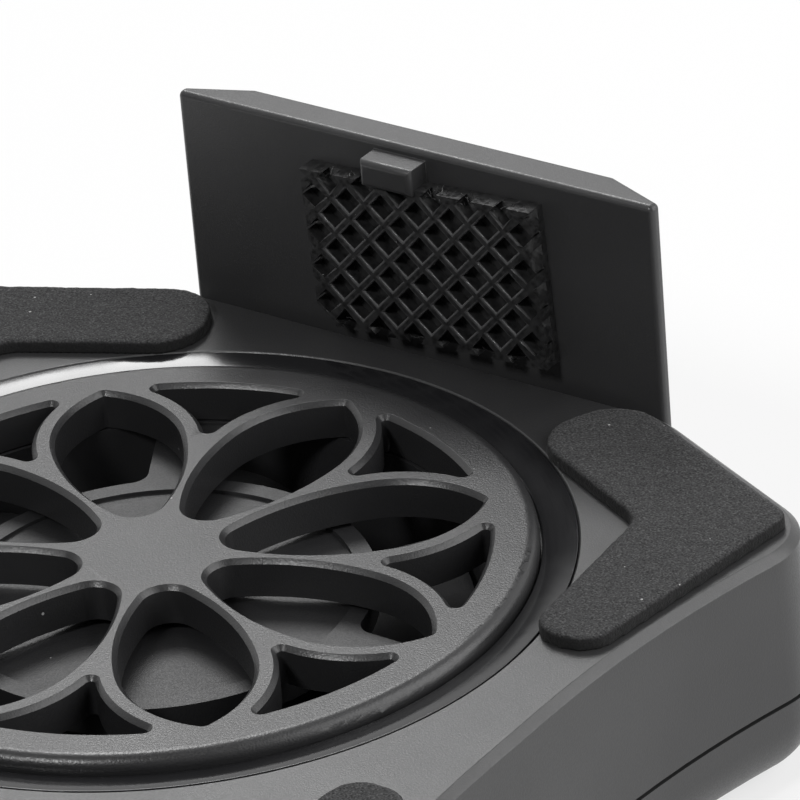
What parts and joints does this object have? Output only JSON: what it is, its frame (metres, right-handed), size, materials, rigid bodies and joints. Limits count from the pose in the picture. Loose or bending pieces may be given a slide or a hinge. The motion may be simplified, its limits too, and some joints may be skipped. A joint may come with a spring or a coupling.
{
  "type": "phone cooling fan",
  "caption": "Clip-on cooling fan for a phone: waisted black housing with a rosette grille, foam pads and two sprung jaws with ribbed rubber pads.",
  "frame": {"origin": "middle of the underside, halfway between the two jaws", "axes": "+Z out of the face that meets the phone, +Y towards the front jaw, +X to the right, away from the power socket and the button"},
  "size_m": [0.0664, 0.0742, 0.0298],
  "materials": {
    "shell_plastic": "fine grain",
    "grille_plastic": "satin",
    "ring_plastic": "gloss",
    "foam": "soft foam",
    "grip_rubber": "ribbed",
    "fan_plastic": "moulded",
    "steel": "plain",
    "screw_steel": "black oxide",
    "ferrite": "sintered",
    "bronze": "sintered",
    "copper": "enamelled wire",
    "board": "solder mask",
    "component_plastic": "moulded",
    "connector_plastic": "moulded"
  },
  "bodies": {
    "housing": {"top_shell": "shell_plastic", "rear_cover": "shell_plastic", "front_grille": "grille_plastic", "trim_ring": "ring_plastic", "foam_pad_front_right": "foam", "foam_pad_front_left": "foam", "foam_pad_rear_right": "foam", "foam_pad_rear_left": "foam", "front_spring_a": "steel", "front_spring_b": "steel", "rear_spring_a": "steel", "rear_spring_b": "steel", "fan_frame": "fan_plastic", "bearing_sleeve": "bronze", "stator_core": "steel", "stator_coils": "copper", "fan_board": "board", "main_board": "board", "board_parts": "component_plastic", "lead_connector": "connector_plastic", "usb_shell": "steel", "usb_tongue": "component_plastic", "tact_switch": "component_plastic", "case_screws": "screw_steel", "fan_screws": "screw_steel", "board_screws": "screw_steel"},
    "front_clamp": {"front_jaw": "shell_plastic", "front_jaw_pad": "grip_rubber"},
    "rear_clamp": {"rear_jaw": "shell_plastic", "rear_jaw_pad": "grip_rubber"},
    "rotor": {"impeller": "fan_plastic", "rotor_yoke": "steel", "rotor_magnet": "ferrite", "rotor_shaft": "steel", "shaft_clip": "steel"},
    "button": {"power_button": "shell_plastic"}
  },
  "joints": [
    {"name": "front_jaw_slide", "type": "slide", "parent": "housing", "child": "front_clamp", "axis": [0, 1, 0], "range_m": [0, 0.008], "stiffness_N_per_m": 300, "springref_m": -0.0067, "deforming": ["front_spring_a", "front_spring_b"]},
    {"name": "rear_jaw_slide", "type": "slide", "parent": "housing", "child": "rear_clamp", "axis": [0, -1, 0], "range_m": [0, 0.008], "stiffness_N_per_m": 300, "springref_m": -0.0067, "deforming": ["rear_spring_a", "rear_spring_b"]},
    {"name": "fan_spin", "type": "hinge", "parent": "housing", "child": "rotor", "pos_m": [0, 0.006, 0.008], "axis": [0, 0, 1], "continuous": true},
    {"name": "button_press", "type": "slide", "parent": "housing", "child": "button", "axis": [1, 0, 0], "range_m": [0, 0.0005], "stiffness_N_per_m": 1500, "springref_m": -0.0003}
  ]
}
